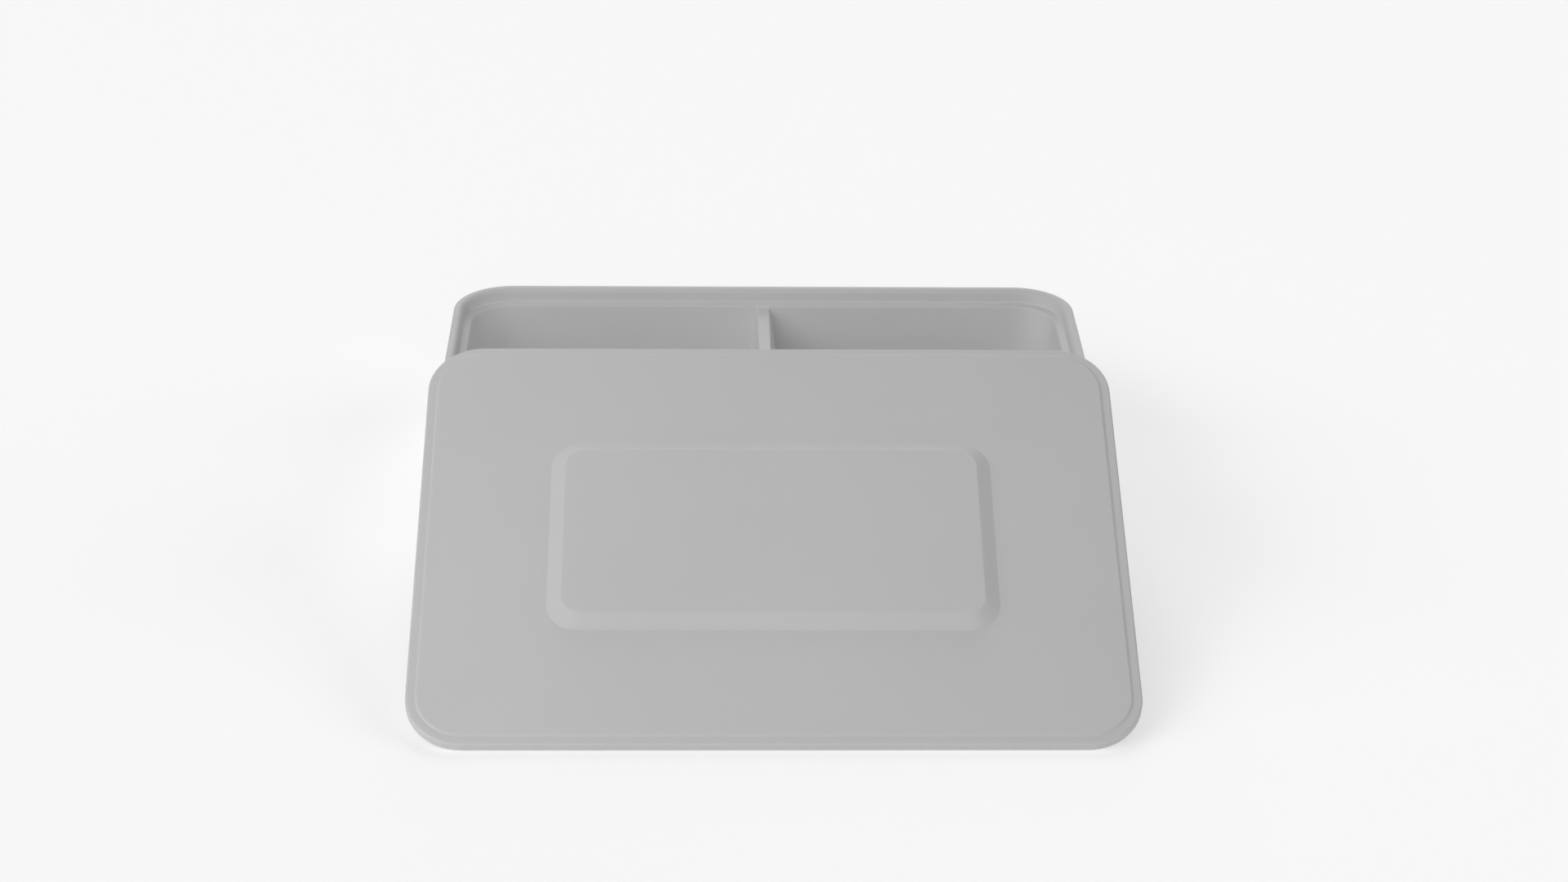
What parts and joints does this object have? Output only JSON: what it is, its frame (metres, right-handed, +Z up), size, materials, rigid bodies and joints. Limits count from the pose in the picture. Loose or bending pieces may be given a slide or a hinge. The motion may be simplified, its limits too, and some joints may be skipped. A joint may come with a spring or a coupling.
{
  "type": "lunch box",
  "caption": "Low rectangular lunch box with rounded corners: a divided tray with a stepped rim, and a flat lid with a raised centre panel that leans on the rim.",
  "frame": {"origin": "centre of the tray's flat base, on the table", "axes": "+X to the right along the tray's width, +Y to the back, +Z up; the lid leans on the front rim, towards -Y"},
  "size_m": [0.23, 0.2567, 0.0679],
  "materials": {
    "shell": "fine matte",
    "seal": "soft matte"
  },
  "bodies": {
    "tray": {"tray": "shell"},
    "lid": {"lid": "shell", "lid_seal": "seal"}
  },
  "joints": [
    {"name": "lid_lift", "type": "slide", "parent": "tray", "child": "lid", "axis": [0, -0.4019, 0.9157], "range_m": [0, 0.12]}
  ]
}
